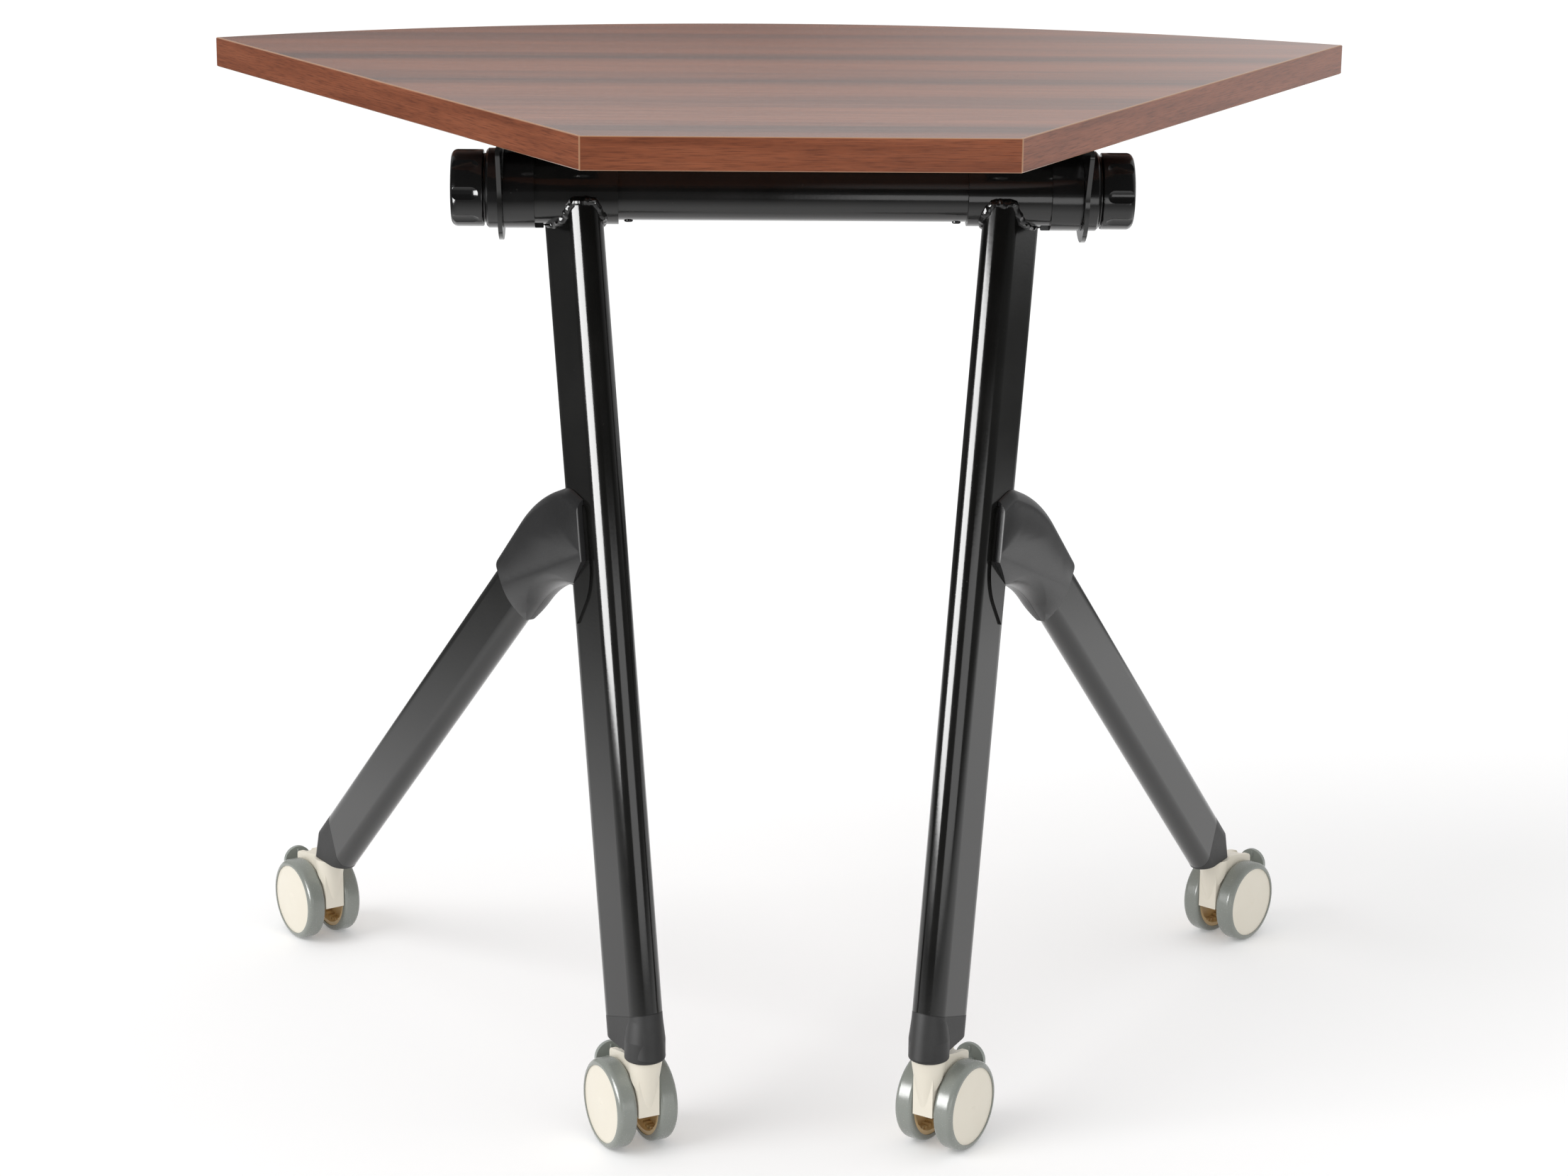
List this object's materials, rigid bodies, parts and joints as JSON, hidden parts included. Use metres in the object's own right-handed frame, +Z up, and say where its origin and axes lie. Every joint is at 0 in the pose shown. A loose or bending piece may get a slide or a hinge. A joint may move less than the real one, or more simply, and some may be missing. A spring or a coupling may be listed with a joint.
{
  "type": "corner desk",
  "caption": "Fan-shaped flip-top corner desk: walnut-look top that tilts on a beam with clamping knobs, two black splayed leg frames and twin-wheel braked casters",
  "frame": {"origin": "on the floor, below the middle of the outline of the level top", "axes": "+X to the right along the short front edge, +Y from the front edge to the curved rear edge, +Z up"},
  "size_m": [0.86, 0.6175, 0.735],
  "materials": {
    "walnut_laminate": "satin walnut-look laminate",
    "walnut_edge_band": "satin reddish walnut-look edge band",
    "black_enamel_steel": "gloss black enamel",
    "black_gloss_plastic": "gloss black moulding",
    "satin_black_plastic": "satin charcoal moulding",
    "grey_cap_plastic": "matt charcoal moulding",
    "bright_steel": "bright zinc-plated steel",
    "ivory_plastic": "smooth ivory moulding",
    "grey_tyre": "grey-green polyurethane",
    "grey_pedal_plastic": "smooth grey moulding"
  },
  "bodies": {
    "frame": {"beam_tube": "black_enamel_steel", "beam_end_plugs": "bright_steel", "leg_sleeve_left": "black_enamel_steel", "leg_sleeve_right": "black_enamel_steel", "friction_sleeve_left": "black_gloss_plastic", "friction_sleeve_right": "black_gloss_plastic", "main_leg_left": "black_enamel_steel", "main_leg_right": "black_enamel_steel", "rear_leg_left": "black_enamel_steel", "rear_leg_right": "black_enamel_steel", "joint_brackets_left": "black_enamel_steel", "joint_brackets_right": "black_enamel_steel", "joint_cover_outer_left": "satin_black_plastic", "joint_cover_outer_right": "satin_black_plastic", "joint_cover_inner_left": "satin_black_plastic", "joint_cover_inner_right": "satin_black_plastic", "main_foot_cap_left": "grey_cap_plastic", "main_foot_cap_right": "grey_cap_plastic", "rear_foot_cap_left": "grey_cap_plastic", "rear_foot_cap_right": "grey_cap_plastic"},
    "top": {"top_panel": "walnut_laminate", "edge_band_front": "walnut_edge_band", "edge_band_rear": "walnut_edge_band", "edge_bands_sides": "walnut_edge_band", "top_bracket_left": "black_enamel_steel", "top_bracket_right": "black_enamel_steel", "thrust_collar_left": "black_gloss_plastic", "thrust_collar_right": "black_gloss_plastic"},
    "knob_left": {"tilt_knob_left": "black_gloss_plastic", "knob_stud_left": "bright_steel"},
    "knob_right": {"tilt_knob_right": "black_gloss_plastic", "knob_stud_right": "bright_steel"},
    "caster_front_left": {"front_left_caster_housing": "ivory_plastic", "front_left_caster_pins": "bright_steel"},
    "wheel_front_left_outer": {"front_left_tyre_outer": "grey_tyre", "front_left_hub_outer": "ivory_plastic"},
    "wheel_front_left_inner": {"front_left_tyre_inner": "grey_tyre", "front_left_hub_inner": "ivory_plastic"},
    "pedal_front_left": {"front_left_brake_pedal": "grey_pedal_plastic"},
    "caster_front_right": {"front_right_caster_housing": "ivory_plastic", "front_right_caster_pins": "bright_steel"},
    "wheel_front_right_outer": {"front_right_tyre_outer": "grey_tyre", "front_right_hub_outer": "ivory_plastic"},
    "wheel_front_right_inner": {"front_right_tyre_inner": "grey_tyre", "front_right_hub_inner": "ivory_plastic"},
    "pedal_front_right": {"front_right_brake_pedal": "grey_pedal_plastic"},
    "caster_rear_left": {"rear_left_caster_housing": "ivory_plastic", "rear_left_caster_pins": "bright_steel"},
    "wheel_rear_left_outer": {"rear_left_tyre_outer": "grey_tyre", "rear_left_hub_outer": "ivory_plastic"},
    "wheel_rear_left_inner": {"rear_left_tyre_inner": "grey_tyre", "rear_left_hub_inner": "ivory_plastic"},
    "pedal_rear_left": {"rear_left_brake_pedal": "grey_pedal_plastic"},
    "caster_rear_right": {"rear_right_caster_housing": "ivory_plastic", "rear_right_caster_pins": "bright_steel"},
    "wheel_rear_right_outer": {"rear_right_tyre_outer": "grey_tyre", "rear_right_hub_outer": "ivory_plastic"},
    "wheel_rear_right_inner": {"rear_right_tyre_inner": "grey_tyre", "rear_right_hub_inner": "ivory_plastic"},
    "pedal_rear_right": {"rear_right_brake_pedal": "grey_pedal_plastic"}
  },
  "joints": [
    {"name": "top_flip", "type": "hinge", "parent": "frame", "child": "top", "pos_m": [0, -0.13476, 0.674], "axis": [1, 0, 0], "range_deg": [0, 80]},
    {"name": "knob_turn_left", "type": "hinge", "parent": "frame", "child": "knob_left", "pos_m": [-0.2096, -0.13476, 0.674], "axis": [-1, 0, 0], "range_deg": [0, 360]},
    {"name": "knob_turn_right", "type": "hinge", "parent": "frame", "child": "knob_right", "pos_m": [0.2096, -0.13476, 0.674], "axis": [1, 0, 0], "range_deg": [0, 360]},
    {"name": "swivel_front_left", "type": "hinge", "parent": "frame", "child": "caster_front_left", "pos_m": [-0.0998, -0.21652, 0.0725], "axis": [0, 0, 1], "continuous": true},
    {"name": "roll_front_left_outer", "type": "hinge", "parent": "caster_front_left", "child": "wheel_front_left_outer", "pos_m": [-0.1247, -0.20196, 0.0325], "axis": [-0.8988, -0.4384, 0], "continuous": true},
    {"name": "roll_front_left_inner", "type": "hinge", "parent": "caster_front_left", "child": "wheel_front_left_inner", "pos_m": [-0.09594, -0.18794, 0.0325], "axis": [-0.8988, -0.4384, 0], "continuous": true},
    {"name": "brake_front_left", "type": "hinge", "parent": "caster_front_left", "child": "pedal_front_left", "pos_m": [-0.11646, -0.18237, 0.05], "axis": [-0.8988, -0.4384, 0], "range_deg": [0, 15]},
    {"name": "swivel_front_right", "type": "hinge", "parent": "frame", "child": "caster_front_right", "pos_m": [0.0998, -0.21652, 0.0725], "axis": [0, 0, 1], "continuous": true},
    {"name": "roll_front_right_outer", "type": "hinge", "parent": "caster_front_right", "child": "wheel_front_right_outer", "pos_m": [0.12668, -0.20604, 0.0325], "axis": [-0.8192, 0.5736, 0], "continuous": true},
    {"name": "roll_front_right_inner", "type": "hinge", "parent": "caster_front_right", "child": "wheel_front_right_inner", "pos_m": [0.10046, -0.18768, 0.0325], "axis": [-0.8192, 0.5736, 0], "continuous": true},
    {"name": "brake_front_right", "type": "hinge", "parent": "caster_front_right", "child": "pedal_front_right", "pos_m": [0.1216, -0.18539, 0.05], "axis": [-0.8192, 0.5736, 0], "range_deg": [0, 15]},
    {"name": "swivel_rear_left", "type": "hinge", "parent": "frame", "child": "caster_rear_left", "pos_m": [-0.35998, 0.20311, 0.0725], "axis": [0, 0, 1], "continuous": true},
    {"name": "roll_rear_left_outer", "type": "hinge", "parent": "caster_rear_left", "child": "wheel_rear_left_outer", "pos_m": [-0.38648, 0.21452, 0.0325], "axis": [-0.8387, -0.5446, 0], "continuous": true},
    {"name": "roll_rear_left_inner", "type": "hinge", "parent": "caster_rear_left", "child": "wheel_rear_left_inner", "pos_m": [-0.35964, 0.23195, 0.0325], "axis": [-0.8387, -0.5446, 0], "continuous": true},
    {"name": "brake_rear_left", "type": "hinge", "parent": "caster_rear_left", "child": "pedal_rear_left", "pos_m": [-0.38068, 0.23498, 0.05], "axis": [-0.8387, -0.5446, 0], "range_deg": [0, 15]},
    {"name": "swivel_rear_right", "type": "hinge", "parent": "frame", "child": "caster_rear_right", "pos_m": [0.35998, 0.20311, 0.0725], "axis": [0, 0, 1], "continuous": true},
    {"name": "roll_rear_right_outer", "type": "hinge", "parent": "caster_rear_right", "child": "wheel_rear_right_outer", "pos_m": [0.38793, 0.21024, 0.0325], "axis": [-0.7431, 0.6691, 0], "continuous": true},
    {"name": "roll_rear_right_inner", "type": "hinge", "parent": "caster_rear_right", "child": "wheel_rear_right_inner", "pos_m": [0.36415, 0.23165, 0.0325], "axis": [-0.7431, 0.6691, 0], "continuous": true},
    {"name": "brake_rear_right", "type": "hinge", "parent": "caster_rear_right", "child": "pedal_rear_right", "pos_m": [0.38541, 0.23135, 0.05], "axis": [-0.7431, 0.6691, 0], "range_deg": [0, 15]}
  ]
}
